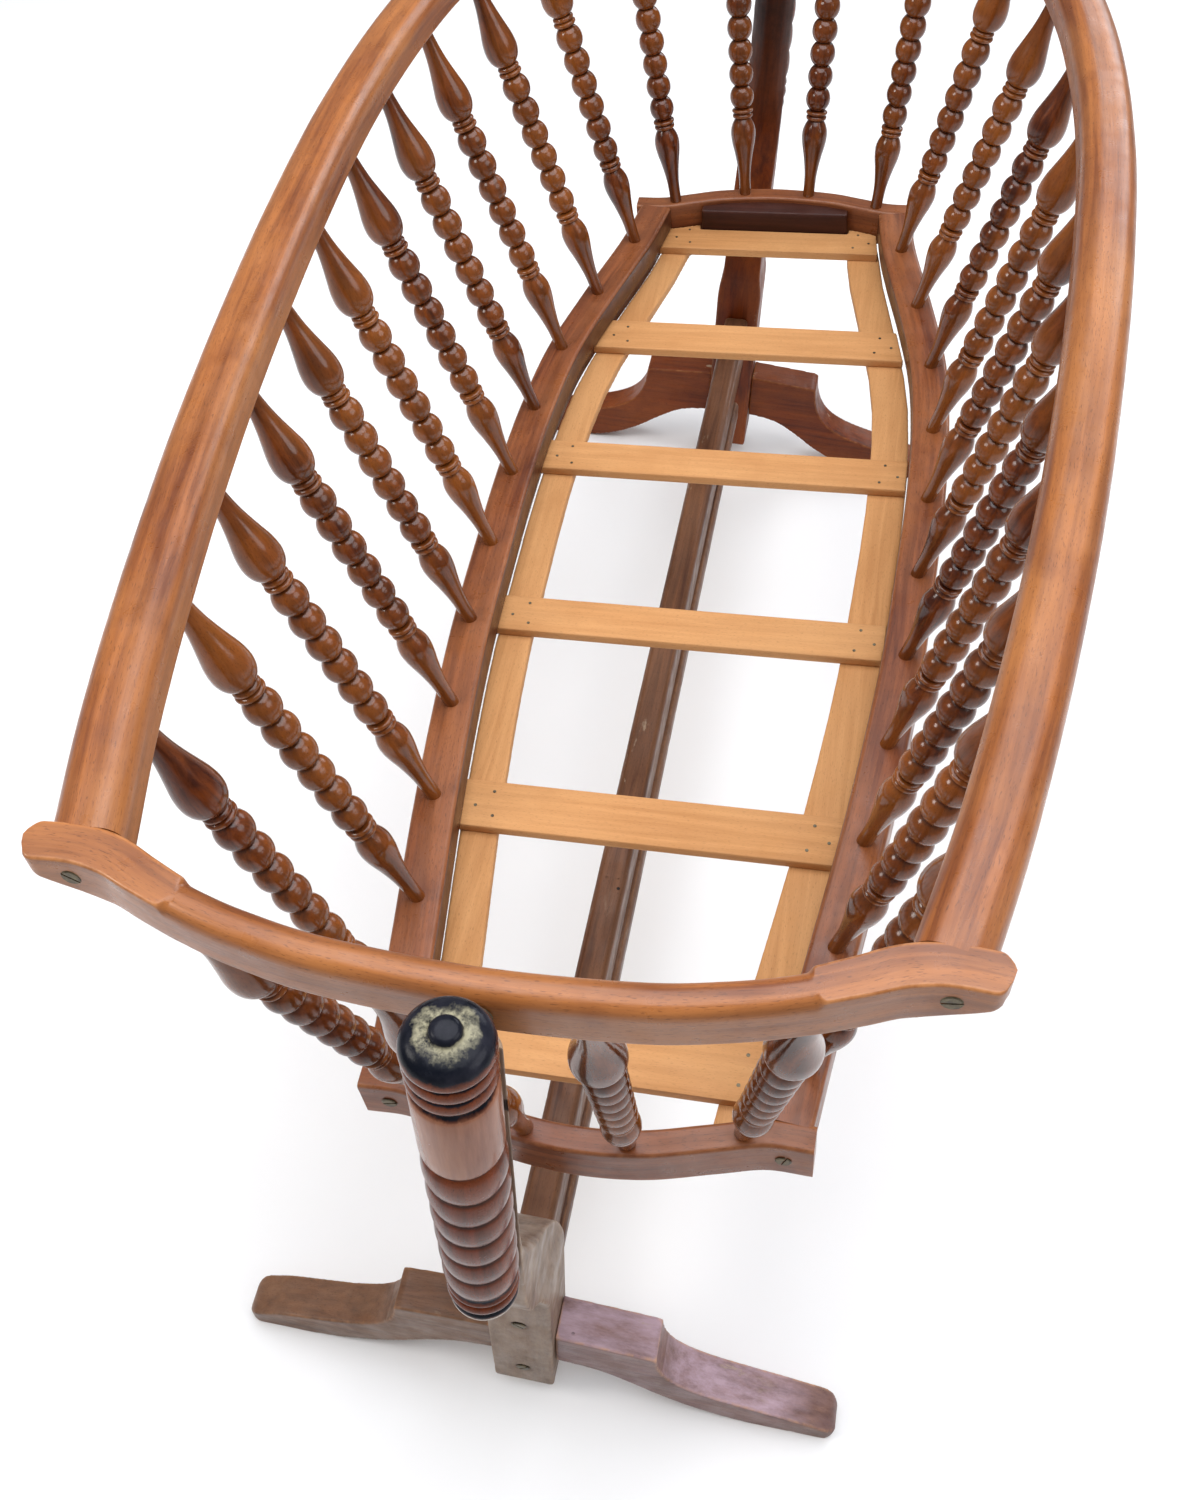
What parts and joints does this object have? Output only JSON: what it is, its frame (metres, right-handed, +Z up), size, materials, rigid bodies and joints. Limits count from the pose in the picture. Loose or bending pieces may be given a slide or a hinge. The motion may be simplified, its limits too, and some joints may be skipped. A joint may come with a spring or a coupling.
{
  "type": "swinging cradle",
  "caption": "Swinging baby cradle with a hooped rail, bead-turned spindle sides and a slatted bottom, hung between two turned posts on a trestle stand with ogee feet.",
  "frame": {"origin": "middle of the footprint, on the floor", "axes": "+Y along the cradle from its foot end to its head end, +Z up, +X across it to the right seen from the foot end"},
  "size_m": [0.4995, 1.1216, 0.62],
  "materials": {
    "stand_wood": "worn dull varnish",
    "column_wood": "dark varnish, polished",
    "rail_wood": "worn satin varnish",
    "spindle_wood": "satin varnish",
    "bare_beech": "bare, matte",
    "iron": "dull, tarnished"
  },
  "bodies": {
    "stand": {"near_post": "stand_wood", "far_post": "stand_wood", "near_column": "column_wood", "far_column": "column_wood", "stretcher_beam": "stand_wood", "stretcher_batten": "stand_wood", "near_left_foot": "stand_wood", "near_right_foot": "stand_wood", "far_left_foot": "stand_wood", "far_right_foot": "stand_wood", "pivot_pins": "iron", "pivot_washers": "iron", "post_screws": "iron"},
    "basket": {"top_hoop": "rail_wood", "upper_foot_rail": "rail_wood", "lower_left_rail": "rail_wood", "lower_right_rail": "rail_wood", "lower_foot_rail": "rail_wood", "lower_head_rail": "rail_wood", "rail_screws": "iron", "left_spindle_01": "spindle_wood", "left_spindle_02": "spindle_wood", "left_spindle_03": "spindle_wood", "left_spindle_04": "spindle_wood", "left_spindle_05": "spindle_wood", "left_spindle_06": "spindle_wood", "left_spindle_07": "spindle_wood", "left_spindle_08": "spindle_wood", "left_spindle_09": "spindle_wood", "left_spindle_10": "spindle_wood", "left_spindle_11": "spindle_wood", "right_spindle_01": "spindle_wood", "right_spindle_02": "spindle_wood", "right_spindle_03": "spindle_wood", "right_spindle_04": "spindle_wood", "right_spindle_05": "spindle_wood", "right_spindle_06": "spindle_wood", "right_spindle_07": "spindle_wood", "right_spindle_08": "spindle_wood", "right_spindle_09": "spindle_wood", "right_spindle_10": "spindle_wood", "right_spindle_11": "spindle_wood", "foot_spindle_1": "spindle_wood", "foot_spindle_2": "spindle_wood", "foot_spindle_3": "spindle_wood", "foot_spindle_4": "spindle_wood", "head_spindle_1": "spindle_wood", "head_spindle_2": "spindle_wood", "head_spindle_3": "spindle_wood", "head_spindle_4": "spindle_wood", "head_cleat": "rail_wood", "left_strip": "bare_beech", "right_strip": "bare_beech", "slat_1": "bare_beech", "slat_2": "bare_beech", "slat_3": "bare_beech", "slat_4": "bare_beech", "slat_5": "bare_beech", "slat_6": "bare_beech", "slat_nails": "iron"}
  },
  "joints": [
    {"name": "basket_swing", "type": "hinge", "parent": "stand", "child": "basket", "pos_m": [0, 0, 0.581], "axis": [0, 1, 0], "range_deg": [-14.5, 25.5]}
  ]
}
